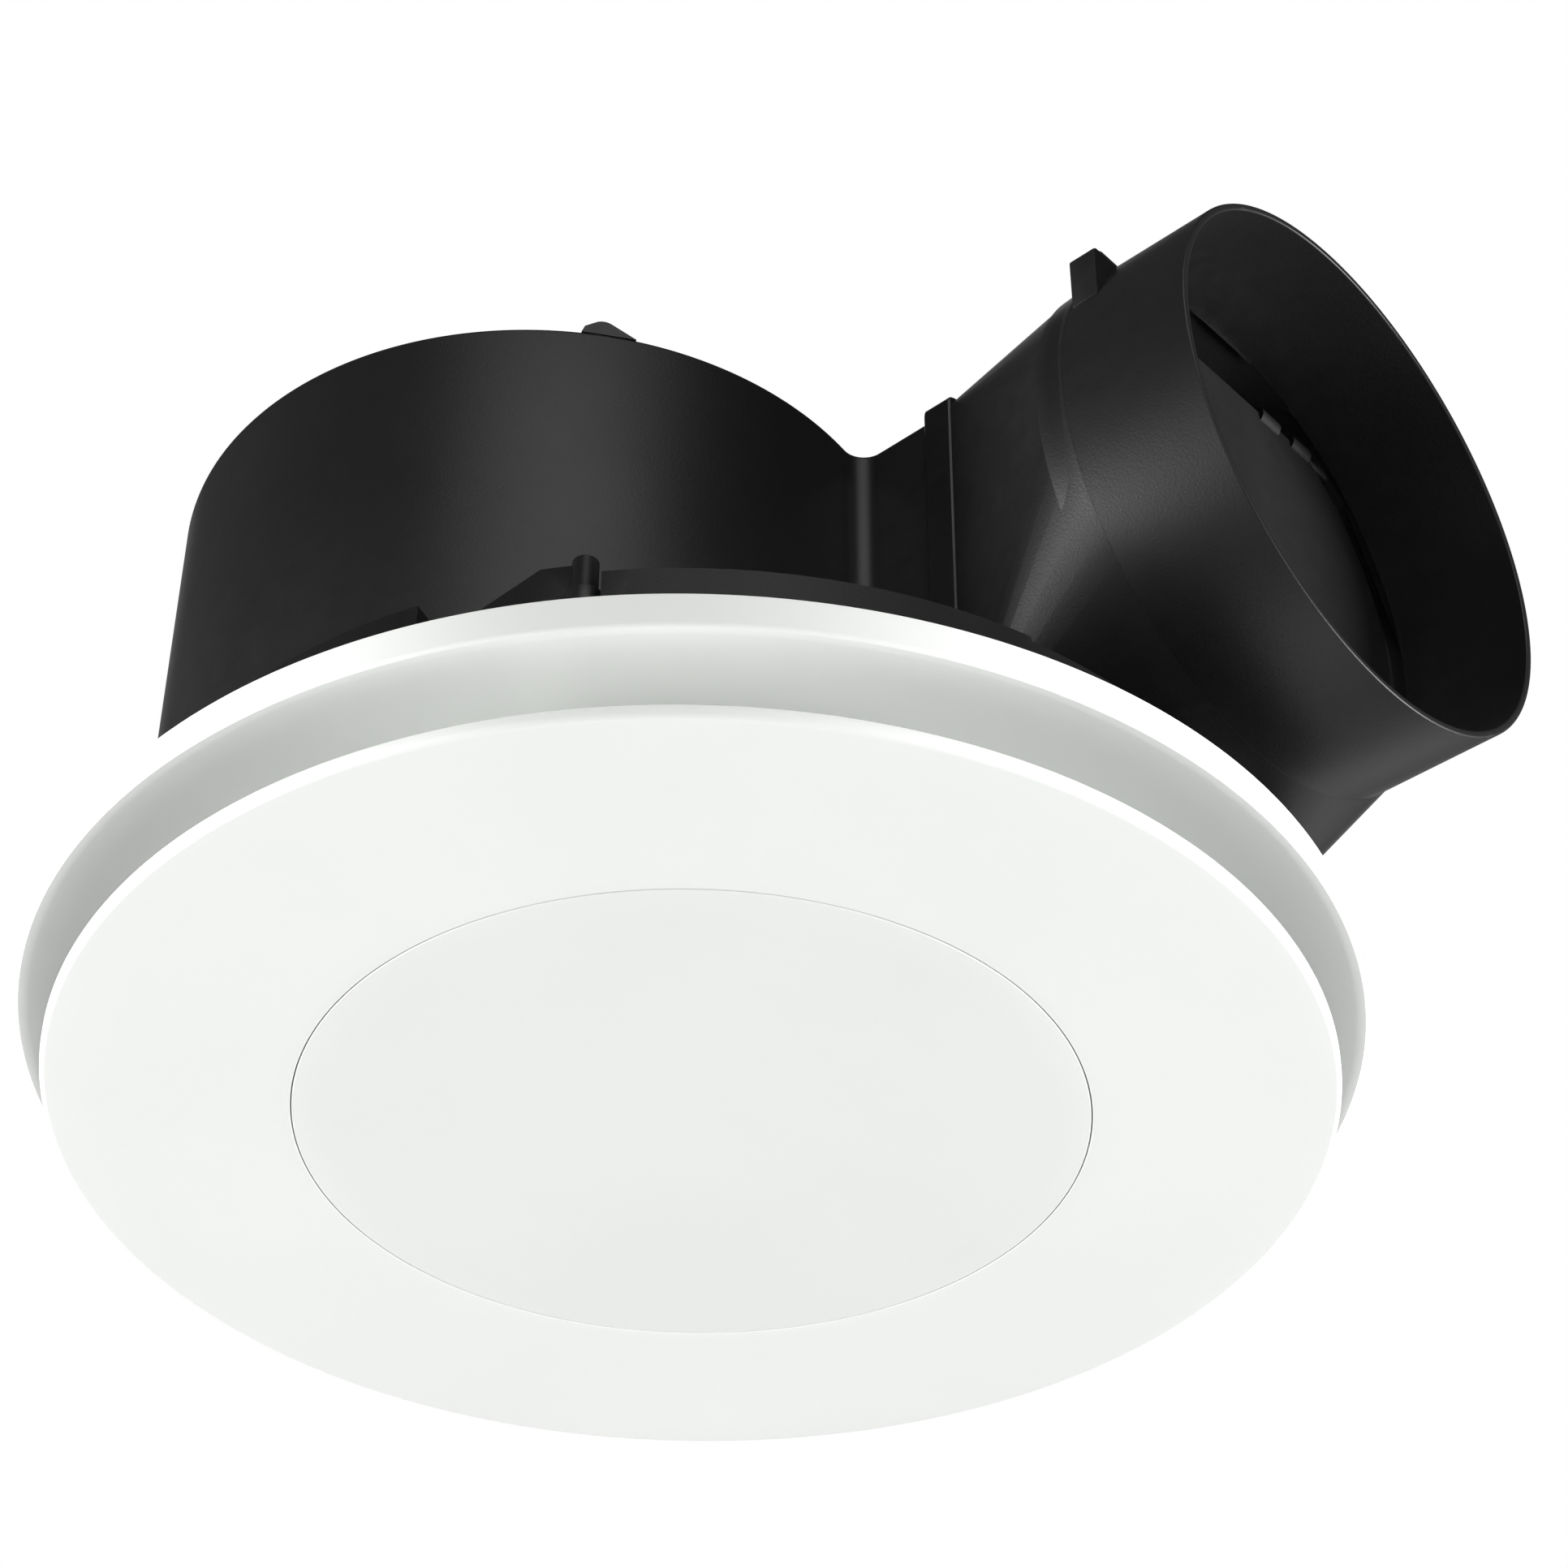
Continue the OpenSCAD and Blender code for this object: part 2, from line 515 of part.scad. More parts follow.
base_tray();
scroll_housing();
housing_screws();
inlet_bellmouth();
bellmouth_screws();
duct_adaptor();
adaptor_screws();
flap_hinge_pin();
backdraft_flap();
lower_motor_shell();
upper_motor_shell();
motor_screws();
motor_mounts();
stator_core();
motor_windings();
lower_bearing();
upper_bearing();
rotor_core();
motor_shaft();
impeller();
impeller_nut();
terminal_box();
terminal_cover();
cover_screws();
terminal_block();
run_capacitor();
cable_gland();
motor_lead();
lead_grommets();
post_clips();
ceiling_ring();
fascia_disc();
light_diffuser();
led_board();
light_pan();
led_driver();
light_screws();
fascia_posts();
colour_switch();
clamp_screw(0);  // clamp_screw_1
clamp_nut(0);  // clamp_nut_1
clamp_wing(0);  // clamp_wing_1
clamp_screw(1);  // clamp_screw_2
clamp_nut(1);  // clamp_nut_2
clamp_wing(1);  // clamp_wing_2
clamp_screw(2);  // clamp_screw_3
clamp_nut(2);  // clamp_nut_3
clamp_wing(2);  // clamp_wing_3
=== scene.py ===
# %% [markdown]
# # A round bathroom extractor fan with a ceiling light
#
# The fan hangs in a ceiling and is seen from below. A white ring and a white disc with a flush opal light
# show in the room. A black moulded casing stands above the ceiling and blows out through a round 150 mm
# spigot.
#
# The engineering model is loaded first and never changed. Each cell below then makes one thing: a finish,
# a smoother outer part that stands for a coarse one, or the lights and the camera. Lengths inside the
# cells are in millimetres, as on a drawing, and are turned into metres when a mesh is made.

# %%
import json
import math
import bpy
import bmesh
from mathutils import Matrix, Vector


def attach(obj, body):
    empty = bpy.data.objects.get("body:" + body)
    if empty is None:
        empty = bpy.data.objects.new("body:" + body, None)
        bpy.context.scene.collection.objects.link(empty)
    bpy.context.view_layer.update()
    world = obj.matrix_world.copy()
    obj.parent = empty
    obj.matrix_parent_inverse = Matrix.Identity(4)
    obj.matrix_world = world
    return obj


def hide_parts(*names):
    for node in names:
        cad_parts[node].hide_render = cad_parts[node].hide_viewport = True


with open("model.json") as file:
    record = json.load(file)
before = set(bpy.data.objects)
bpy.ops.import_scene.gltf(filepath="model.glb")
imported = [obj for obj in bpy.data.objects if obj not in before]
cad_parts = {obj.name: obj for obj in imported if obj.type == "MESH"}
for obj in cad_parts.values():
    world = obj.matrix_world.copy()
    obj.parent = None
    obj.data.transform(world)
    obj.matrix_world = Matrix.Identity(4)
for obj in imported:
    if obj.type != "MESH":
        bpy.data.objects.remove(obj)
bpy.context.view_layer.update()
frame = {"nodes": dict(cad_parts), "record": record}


record = frame["record"]
behaviour = record["behaviour"]
body_of_node = {}
for body, members in behaviour["bodies"].items():
    for node in members:
        body_of_node[node] = body

# %% [markdown]
# ## The frame that every outer part is drawn in
#
# The impeller turns about an upright axis that is off the centre of the ceiling hole. The duct leaves it
# at 41.9 degrees to the right of straight ahead. Most of the casing is easiest to draw with one axis
# along the duct and one across it, so this cell turns such a point into the shared frame.

# %%
AXIS = (-44.7, -1.7)
TURN = math.radians(-41.9)
SPIGOT_N = 63.1
SPIGOT_Z = 99.9
DECK = 25.5
CAN_TOP = 153.0
WALL = 2.5


def duct(d, n, z):
    """Point at d along the duct, n across it and z up, in the shared frame (mm)."""
    return (AXIS[0] + d * math.cos(TURN) - n * math.sin(TURN),
            AXIS[1] + d * math.sin(TURN) + n * math.cos(TURN), z)


def tube(d, r, a):
    """Point at radius r about the spigot's axis. a is 0 at the far side and a quarter turn at the top."""
    return duct(d, SPIGOT_N + r * math.cos(a), SPIGOT_Z + r * math.sin(a))


print("mouth centre", [round(v, 1) for v in duct(228, SPIGOT_N, SPIGOT_Z)])

# %% [markdown]
# ## Turning lists of points into closed parts
#
# A moulding is a skin of even thickness with small radii on its edges. Three small tools cover nearly all
# of it: a stack of outlines joined edge to edge, the same thing turned about an axis, and one solid cut
# from another. Every result is welded and its faces are turned outwards, so that light falls on it
# correctly.

# %%
def new_object(name, verts, faces):
    """Object with this name from points in mm."""
    mesh = bpy.data.meshes.new(name)
    mesh.from_pydata([(x * 0.001, y * 0.001, z * 0.001) for x, y, z in verts], [], faces)
    obj = bpy.data.objects.new(name, mesh)
    bpy.context.scene.collection.objects.link(obj)
    return tidy(obj)


def tidy(obj, angle=34):
    """Weld, turn faces outwards and shade smooth up to this angle."""
    bm = bmesh.new()
    bm.from_mesh(obj.data)
    bmesh.ops.remove_doubles(bm, verts=bm.verts, dist=2e-6)
    bmesh.ops.dissolve_degenerate(bm, edges=bm.edges, dist=1e-6)
    bmesh.ops.recalc_face_normals(bm, faces=bm.faces)
    for edge in bm.edges:
        edge.smooth = len(edge.link_faces) != 2 or edge.calc_face_angle(0) < math.radians(angle)
    for face in bm.faces:
        face.smooth = True
    bm.to_mesh(obj.data)
    bm.free()
    return obj


def loft(name, rings, closed=False):
    """Skin over outlines with equal numbers of points. closed joins the last outline to the first; otherwise
    both ends are capped."""
    count = len(rings[0])
    verts = [p for ring in rings for p in ring]
    faces = []
    spans = len(rings) if closed else len(rings) - 1
    for i in range(spans):
        a, b = i * count, (i + 1) % len(rings) * count
        for k in range(count):
            m = (k + 1) % count
            faces.append((a + k, a + m, b + m, b + k))
    if not closed:
        faces.append(tuple(range(count)))
        faces.append(tuple(len(verts) - count + k for k in range(count)))
    return new_object(name, verts, faces)


def lathe(name, profile, segments=256, centre=(0.0, 0.0)):
    """Closed profile of (radius, z) turned about an upright axis through centre."""
    rings = []
    for r, z in profile:
        rings.append([(centre[0] + r * math.cos(2 * math.pi * k / segments),
                       centre[1] + r * math.sin(2 * math.pi * k / segments), z) for k in range(segments)])
    return loft(name, rings, closed=True)


def arc(cx, cy, r, start, end, steps):
    """Points on an arc, angles in degrees."""
    return [(cx + r * math.cos(math.radians(start + (end - start) * k / steps)),
             cy + r * math.sin(math.radians(start + (end - start) * k / steps))) for k in range(steps + 1)]


def bake(obj):
    """Apply obj's modifiers."""
    bpy.context.view_layer.update()
    made = bpy.data.meshes.new_from_object(obj.evaluated_get(bpy.context.evaluated_depsgraph_get()))
    obj.modifiers.clear()
    old = obj.data
    obj.data = made
    made.name = obj.name
    bpy.data.meshes.remove(old)
    return obj


def combine(obj, other, how):
    """Cut other from obj, or join it on, and drop other."""
    mod = obj.modifiers.new("solid", "BOOLEAN")
    mod.operation = how
    mod.solver = "EXACT"
    mod.object = other
    bake(obj)
    bpy.data.objects.remove(other)
    return tidy(obj)


def soften(obj, width, segments=2, angle=40):
    """Small radii on the sharp edges."""
    mod = obj.modifiers.new("radii", "BEVEL")
    mod.width = width * 0.001
    mod.segments = segments
    mod.limit_method = "ANGLE"
    mod.angle_limit = math.radians(angle)
    mod.use_clamp_overlap = True
    mod.harden_normals = False
    bake(obj)
    return tidy(obj, 50)


def cylinder(name, r, z0, z1, centre=(0.0, 0.0), segments=64):
    """Upright solid cylinder."""
    rings = []
    for z in (z0, z1):
        rings.append([(centre[0] + r * math.cos(2 * math.pi * k / segments),
                       centre[1] + r * math.sin(2 * math.pi * k / segments), z) for k in range(segments)])
    return loft(name, rings)


def cad_copy(node, name):
    """A welded copy of a CAD node, to finish with small radii. The node itself stays as it is."""
    obj = bpy.data.objects.new(name, frame["nodes"][node].data.copy())
    bpy.context.scene.collection.objects.link(obj)
    return tidy(obj)


def stands_for(obj, node, slot):
    """obj takes the CAD node's place on its body, with the finish of this material slot."""
    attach(obj, body_of_node[node])
    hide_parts(node)
    finish_with(obj, slot)
    print(obj.name, "stands for", node, "-", len(obj.data.polygons), "faces")


print("tools ready")

# %% [markdown]
# ## Effects that several finishes share
#
# Moulded plastic, pressed steel and rubber all differ in colour, but three things come back on each: a
# fine grain left by the mould or the tool, lighter edges, and dust that settles on what faces up. On the
# metals the lighter edges stand for rubbing; on the black and white plastics they are a painted sheen.
# Each is a node group with named inputs, so each material only says how much of it there is.
# Patterns follow the object's own coordinates in metres, so a scale of 1000 means about one grain a
# millimetre.

# %%
def shader_group(name, inputs, outputs):
    """Empty shader group. Inputs are (name, default) and outputs are (name, socket type)."""
    tree = bpy.data.node_groups.new(name, "ShaderNodeTree")
    for label, value in inputs:
        socket = tree.interface.new_socket(name=label, in_out="INPUT", socket_type="NodeSocketFloat")
        socket.default_value = value
    for label, kind in outputs:
        tree.interface.new_socket(name=label, in_out="OUTPUT", socket_type=kind)
    return tree, tree.nodes.new("NodeGroupInput"), tree.nodes.new("NodeGroupOutput")


def maths(tree, operation, a, b=None, clamp=False):
    """One Math node. a and b are sockets or numbers."""
    node = tree.nodes.new("ShaderNodeMath")
    node.operation = operation
    node.use_clamp = clamp
    for i, value in enumerate((a, b)):
        if value is None:
            continue
        if isinstance(value, (int, float)):
            node.inputs[i].default_value = value
        else:
            tree.links.new(value, node.inputs[i])
    return node.outputs[0]


def noise(tree, scale, detail, vector):
    """One Noise node. scale is a socket or a number."""
    node = tree.nodes.new("ShaderNodeTexNoise")
    node.inputs["Detail"].default_value = detail
    if isinstance(scale, (int, float)):
        node.inputs["Scale"].default_value = scale
    else:
        tree.links.new(scale, node.inputs["Scale"])
    tree.links.new(vector, node.inputs["Vector"])
    return node.outputs["Fac"]


# grain: a height for bumps, and a slow tone that breaks up even colour and gloss
GRAIN, given, out = shader_group("Moulded grain", [("Scale", 1500.0), ("Cloud", 12.0)],
                                 [("Height", "NodeSocketFloat"), ("Tone", "NodeSocketFloat")])
place = GRAIN.nodes.new("ShaderNodeTexCoord").outputs["Object"]
fine = noise(GRAIN, given.outputs["Scale"], 3.0, place)
cloud = noise(GRAIN, given.outputs["Cloud"], 5.0, place)
GRAIN.links.new(fine, out.inputs["Height"])
GRAIN.links.new(maths(GRAIN, "SUBTRACT", cloud, 0.5), out.inputs["Tone"])

# lighter edges: a mask that is strongest on convex edges, broken up by noise. It lays rubbing on metal edges
# and a painted sheen on black and white plastic edges
FLAT_POINTINESS = 0.53
EDGE_WEAR_AND_SHEEN, given, out = shader_group("Edge wear", [("Amount", 0.5)], [("Mask", "NodeSocketFloat")])
place = EDGE_WEAR_AND_SHEEN.nodes.new("ShaderNodeTexCoord").outputs["Object"]
edge = EDGE_WEAR_AND_SHEEN.nodes.new("ShaderNodeNewGeometry").outputs["Pointiness"]
sharp = maths(EDGE_WEAR_AND_SHEEN, "MULTIPLY", maths(EDGE_WEAR_AND_SHEEN, "SUBTRACT", edge, FLAT_POINTINESS), 12.0, clamp=True)
patchy = maths(EDGE_WEAR_AND_SHEEN, "MULTIPLY", sharp, noise(EDGE_WEAR_AND_SHEEN, 160.0, 4.0, place))
EDGE_WEAR_AND_SHEEN.links.new(maths(EDGE_WEAR_AND_SHEEN, "MULTIPLY", patchy, given.outputs["Amount"], clamp=True), out.inputs["Mask"])

# dust: a mask that is strongest on faces that look up
DUST, given, out = shader_group("Dust", [("Amount", 0.2)], [("Mask", "NodeSocketFloat")])
place = DUST.nodes.new("ShaderNodeTexCoord").outputs["Object"]
split = DUST.nodes.new("ShaderNodeSeparateXYZ")
DUST.links.new(DUST.nodes.new("ShaderNodeNewGeometry").outputs["Normal"], split.inputs["Vector"])
upward = maths(DUST, "POWER", maths(DUST, "MAXIMUM", split.outputs["Z"], 0.0), 2.0)
specks = maths(DUST, "ADD", maths(DUST, "MULTIPLY", noise(DUST, 900.0, 4.0, place), 0.6), 0.2)
settled = maths(DUST, "MULTIPLY", upward, specks)
DUST.links.new(maths(DUST, "MULTIPLY", settled, given.outputs["Amount"], clamp=True), out.inputs["Mask"])
print("shared effects:", GRAIN.name, EDGE_WEAR_AND_SHEEN.name, DUST.name)

# %% [markdown]
# ## One finish for each material slot
#
# A finish starts from its plain colour, gloss and metal value. The grain's slow tone shifts the colour
# and the gloss a little, the edges go lighter and the dust lays a pale film over what faces up. The
# lighter edges stand for rubbing on the metals and are a painted sheen on the black and white plastics.
# The black parts are satin ABS: dark, with a soft wide sheen. The white parts are smoother. Zinc plate,
# castings, laminations, enamelled wire and brass are metals whose gloss varies, and the sheath and board
# are plain moulded or coated.

# %%
DUST_COLOUR = (0.32, 0.31, 0.29)
GRAIN_DEPTH_M = 0.0002


def finish(name, colour, rough, metal=0.0, grain=1500.0, depth=0.02, tone=0.1, wear=0.3, edge_wear_and_sheen_colour=None,
           dust=0.2, coat=0.0, specular=0.5):
    """One material. colour is linear; the edge colour argument is the colour of the lighter edges, rubbing
    on metal and a painted sheen on plastic; dust is how much settles.
    """
    material = bpy.data.materials.new(name)
    material.use_nodes = True
    tree = material.node_tree
    shader = tree.nodes["Principled BSDF"]
    shader.inputs["Metallic"].default_value = metal
    shader.inputs["Coat Weight"].default_value = coat
    shader.inputs["Specular IOR Level"].default_value = specular
    made = {}
    for label, group, values in (("grain", GRAIN, {"Scale": grain}), ("wear", EDGE_WEAR_AND_SHEEN, {"Amount": wear}),
                                 ("dust", DUST, {"Amount": dust})):
        node = tree.nodes.new("ShaderNodeGroup")
        node.node_tree = group
        for key, value in values.items():
            node.inputs[key].default_value = value
        made[label] = node

    def mixed(factor, first, second):
        node = tree.nodes.new("ShaderNodeMix")
        node.data_type = "RGBA"
        tree.links.new(factor, node.inputs["Factor"])
        for place, value in ((6, first), (7, second)):
            if isinstance(value, tuple):
                node.inputs[place].default_value = value + (1.0,)
            else:
                tree.links.new(value, node.inputs[place])
        return node.outputs[2]

    shade = maths(tree, "ADD", maths(tree, "MULTIPLY", made["grain"].outputs["Tone"], 2.0), 0.5, clamp=True)
    low = tuple(c * (1 - tone) for c in colour)
    high = tuple(min(1.0, c * (1 + tone)) for c in colour)
    base = mixed(shade, low, high)
    # lighter edges: rubbing on metal, a painted sheen on the black and white plastics
    edge_wear_and_sheen_tone = edge_wear_and_sheen_colour or tuple(min(1.0, c * 1.6 + 0.02) for c in colour)
    base = mixed(made["wear"].outputs["Mask"], base, edge_wear_and_sheen_tone)
    base = mixed(made["dust"].outputs["Mask"], base, DUST_COLOUR)
    tree.links.new(base, shader.inputs["Base Color"])
    gloss = maths(tree, "ADD", maths(tree, "MULTIPLY", made["grain"].outputs["Tone"], 0.25), rough)
    gloss = maths(tree, "ADD", gloss, maths(tree, "MULTIPLY", made["dust"].outputs["Mask"], 0.3), clamp=True)
    tree.links.new(gloss, shader.inputs["Roughness"])
    bump = tree.nodes.new("ShaderNodeBump")
    bump.inputs["Strength"].default_value = depth
    bump.inputs["Distance"].default_value = GRAIN_DEPTH_M
    tree.links.new(made["grain"].outputs["Height"], bump.inputs["Height"])
    tree.links.new(bump.outputs["Normal"], shader.inputs["Normal"])
    return material


FINISHES = {
    # the black plastic's lighter edge colour is a painted sheen
    "black_plastic": finish("black_plastic", (0.008, 0.008, 0.0085), 0.4, depth=0.2, tone=0.15,
                            specular=0.36, wear=0.35, edge_wear_and_sheen_colour=(0.07, 0.07, 0.072), dust=0.12),
    # the grey plastic is darkened to near black, a painted shade for the dark inside of the spigot
    "grey_plastic": finish("grey_plastic", (0.016, 0.016, 0.018), 0.5, depth=0.3, tone=0.12,
                           dust=0.15),
    # the white plastic's and the opal's lighter edge colours are a painted sheen
    "white_plastic": finish("white_plastic", (0.86, 0.875, 0.855), 0.38, depth=0.05, tone=0.012,
                            wear=0.05, edge_wear_and_sheen_colour=(0.88, 0.88, 0.87), dust=0.05),
    "opal_diffuser": finish("opal_diffuser", (0.82, 0.835, 0.82), 0.32, depth=0.03, tone=0.012,
                            wear=0.05, edge_wear_and_sheen_colour=(0.86, 0.87, 0.85), dust=0.04),
    "steel": finish("steel", (0.55, 0.56, 0.58), 0.34, metal=1.0, grain=2600.0, depth=0.15, tone=0.12,
                    wear=0.5, edge_wear_and_sheen_colour=(0.75, 0.75, 0.76), dust=0.2),
    "motor_casing": finish("motor_casing", (0.5, 0.51, 0.53), 0.42, metal=0.9, grain=1800.0, depth=0.3,
                           tone=0.1, wear=0.4, edge_wear_and_sheen_colour=(0.7, 0.7, 0.71), dust=0.25),
    "lamination_steel": finish("lamination_steel", (0.24, 0.25, 0.27), 0.5, metal=0.9, grain=3000.0,
                               depth=0.4, tone=0.2, dust=0.1),
    "copper_winding": finish("copper_winding", (0.42, 0.14, 0.045), 0.3, metal=0.4, grain=1200.0,
                             depth=0.6, tone=0.25, coat=0.5, dust=0.1),
    "brass": finish("brass", (0.66, 0.47, 0.18), 0.3, metal=1.0, grain=2200.0, depth=0.12, tone=0.1,
                    wear=0.4, edge_wear_and_sheen_colour=(0.8, 0.66, 0.35), dust=0.1),
    "rubber": finish("rubber", (0.016, 0.016, 0.016), 0.8, grain=1100.0, depth=0.4, tone=0.15, dust=0.35),
    "lead_sheath": finish("lead_sheath", (0.56, 0.56, 0.54), 0.5, depth=0.1, tone=0.06, dust=0.35),
    "circuit_board": finish("circuit_board", (0.8, 0.81, 0.78), 0.4, depth=0.08, tone=0.03, dust=0.1),
}


def finish_with(obj, slot):
    """Give obj the finish of this slot and no other."""
    obj.data.materials.clear()
    obj.data.materials.append(FINISHES[slot])


slot_of_node = {}
for entry in record["subparts"]:
    slot_of_node[entry["node"]] = entry["material_slot"]


def paint(node, material):
    """Put one finish on every slot of a CAD node."""
    for holder in frame["nodes"][node].material_slots:
        holder.material = material


for node in frame["nodes"]:
    paint(node, FINISHES[slot_of_node[node]])
# the hinge pin is blackened, and the flap is painted darker than the black plastic: a painted shade for the
# dark inside of the spigot
paint("flap_hinge_pin", finish("blackened_steel", (0.02, 0.02, 0.022), 0.55, metal=0.6, grain=2600.0,
                               depth=0.1, dust=0.05))
paint("backdraft_flap", finish("dark_flap_plastic", (0.005, 0.005, 0.0055), 0.6, depth=0.2, dust=0.0,
                               specular=0.2))
print(len(FINISHES), "finishes on", len(frame["nodes"]), "nodes")

# %% [markdown]
# ## Scroll housing
#
# The black can round the impeller is one injection moulding. Its wall follows a spiral: round at the
# front, then growing away from the impeller until it runs straight into the rectangular outlet. It could
# be moulded with a radius along its top rim, which strengthens the edge and lets it leave the tool. The
# outline is drawn with an inset, so the rim's radius is a stack of slightly smaller outlines. The inside
# is cut out as a second solid, and the outlet's floor is raised clear of the deck.

# %%
CAN_R = 100.6
GROWTH = 15.2
GROWN_R = CAN_R + GROWTH
FAR_N = GROWTH * math.sin(-TURN) + GROWN_R
NEAR_N = 20.6
STUB_START = 108.0
STUB_END = 131.0
STUB_FLOOR = 30.0
FILLET = 6.0


def scroll_outline(inset, end, z):
    """Plan outline of the scroll, moved inwards by inset, with its outlet ending at end."""
    fillet_n = NEAR_N - FILLET
    fillet_d = math.sqrt((CAN_R + FILLET) ** 2 - fillet_n ** 2)
    turn = math.degrees(math.atan2(fillet_n, fillet_d))
    local = [(end, NEAR_N + inset)] + arc(fillet_d, fillet_n, FILLET + inset, 90, 180 + turn, 14)
    points = [duct(d, n, z) for d, n in local]
    angle = math.degrees(TURN) + turn
    for x, y in arc(0, 0, CAN_R - inset, angle, -180, 130)[1:]:
        points.append((AXIS[0] + x, AXIS[1] + y, z))
    for x, y in arc(GROWTH, 0, GROWN_R - inset, 180, 90 + math.degrees(TURN), 110)[1:]:
        points.append((AXIS[0] + x, AXIS[1] + y, z))
    points.append(duct(end, FAR_N - inset, z))
    return points


def duct_block(name, low, high):
    """Box in the duct's own directions."""
    rings = []
    for z in (low[2], high[2]):
        rings.append([duct(low[0], low[1], z), duct(high[0], low[1], z), duct(high[0], high[1], z),
                      duct(low[0], high[1], z)])
    return loft(name, rings)


def under_stub(start, top):
    """Block that clears the space below the outlet's floor, from start on and up to top."""
    return duct_block("stub_gap", (start, 10, 20), (135, 140, top))


RIM = 1.6
stack = [scroll_outline(0, STUB_END, DECK)]
for inward, rise in arc(RIM, 0, RIM, 180, 90, 5):
    stack.append(scroll_outline(inward, STUB_END, CAN_TOP - RIM + rise))
scroll = combine(loft("scroll_shell", stack), under_stub(STUB_START, STUB_FLOOR), "DIFFERENCE")
inside = loft("scroll_inside", [scroll_outline(WALL, STUB_END + 1, z) for z in (DECK - 1, CAN_TOP - WALL)])
inside = combine(inside, under_stub(STUB_START - WALL, STUB_FLOOR + WALL), "DIFFERENCE")
scroll = combine(scroll, inside, "DIFFERENCE")

# moulded tab on the front rim, then the screwed feet round the wall
tab_turn = math.radians(-78)
tab_outline = [(-7, -0.4), (-6.2, 1.8)] + arc(-1.2, 0.6, 3.8, 128, 60, 6) + [(7.5, -0.4)]
tab_rings = []
for r in (CAN_R - 2.7, CAN_R - 0.2):
    tab_rings.append([(AXIS[0] + r * math.cos(tab_turn) - t * math.sin(tab_turn),
                       AXIS[1] + r * math.sin(tab_turn) + t * math.cos(tab_turn), CAN_TOP + h)
                      for t, h in tab_outline])
tab = loft("rim_tab", tab_rings)
FOOT_R = 5.0
FOOT_H = 9.0
FEET = [(CAN_R + 4.5, -130), (CAN_R + 4.5, -95), (CAN_R + 4.5, -58), (116.2, 100), (124.4, 68)]


def join(first, *others):
    """Several objects as one, under the first one's name."""
    meshes = bmesh.new()
    for obj in (first,) + others:
        meshes.from_mesh(obj.data)
    meshes.to_mesh(first.data)
    meshes.free()
    for obj in others:
        bpy.data.objects.remove(obj)
    return tidy(first)


def on_axis(radius, az, z):
    """Point at this radius and azimuth about the impeller's axis."""
    return (AXIS[0] + radius * math.cos(math.radians(az)), AXIS[1] + radius * math.sin(math.radians(az)), z)


def round_origin(radius, az, z):
    """The same about the middle of the ceiling ring."""
    return (radius * math.cos(math.radians(az)), radius * math.sin(math.radians(az)), z)


feet = [cylinder("foot", FOOT_R, DECK, DECK + FOOT_H, on_axis(radius, az, 0)[:2], 40) for radius, az in FEET]
scroll = join(scroll, tab, *feet)
stands_for(scroll, "scroll_housing", "black_plastic")

# %% [markdown]
# ## Duct adaptor and spigot
#
# A second moulding slides over the outlet and turns the rectangle into a 150 mm round spigot. On the real
# part the change of shape is a set of flat panels and part cones, which a tool can make without
# undercuts. The skin is the tight hull of the rounded rectangle at the sleeve and the circle where the
# spigot starts. The spigot's mouth has a rolled lip, and wedge lugs beside the hinge stop a duct that is
# pushed on.

# %%
SLEEVE_D = 123.5
SLEEVE_END = 132.5
LOFT_END = 191.0
MOUTH_D = 228.0
SPIGOT_R = 74.75
SPIGOT_WALL = 2.0
SKIN = 2.2
SLEEVE_GAP = 0.15
SLEEVE_OUT = SLEEVE_GAP + WALL
HINGE_BACK = 40.0
HINGE_UP = 55.5
PIN_BOSS_R = 5.2


def rounded_rectangle(d, grow, radius):
    """Outline across the duct: the outlet's opening grown outwards, with round corners."""
    low_n, high_n = NEAR_N - grow, FAR_N + grow
    low_z, high_z = STUB_FLOOR - grow, CAN_TOP + grow
    points = []
    for n, z, start in ((high_n - radius, high_z - radius, 0), (low_n + radius, high_z - radius, 90),
                        (low_n + radius, low_z + radius, 180), (high_n - radius, low_z + radius, 270)):
        points += [duct(d, pn, pz) for pn, pz in arc(n, z, radius, start, start + 90, 12)]
    return points


def hull_skin(name, inset):
    """Tight hull of the sleeve's outline and the circle at the end of the change of shape."""
    points = rounded_rectangle(SLEEVE_END - 0.5, 2.0 - inset, 5.2 - inset)
    points += rounded_rectangle(SLEEVE_END, 2.0 - inset, 5.2 - inset)
    for d in (LOFT_END - 0.6, LOFT_END):
        points += [tube(d, SPIGOT_R + 0.04 - inset, 2 * math.pi * k / 256) for k in range(256)]
    bm = bmesh.new()
    for x, y, z in points:
        bm.verts.new((x * 0.001, y * 0.001, z * 0.001))
    made = bmesh.ops.convex_hull(bm, input=bm.verts)
    loose = [v for v in made["geom_interior"] + made["geom_unused"] if isinstance(v, bmesh.types.BMVert)]
    bmesh.ops.delete(bm, geom=list(set(loose)), context="VERTS")
    mesh = bpy.data.meshes.new(name)
    bm.to_mesh(mesh)
    bm.free()
    obj = bpy.data.objects.new(name, mesh)
    bpy.context.scene.collection.objects.link(obj)
    return tidy(obj)


def tube_lathe(name, profile, segments=256):
    """Closed profile of (distance along the duct, radius) turned about the spigot's axis."""
    rings = [[tube(d, r, 2 * math.pi * k / segments) for k in range(segments)] for d, r in profile]
    return loft(name, rings, closed=True)


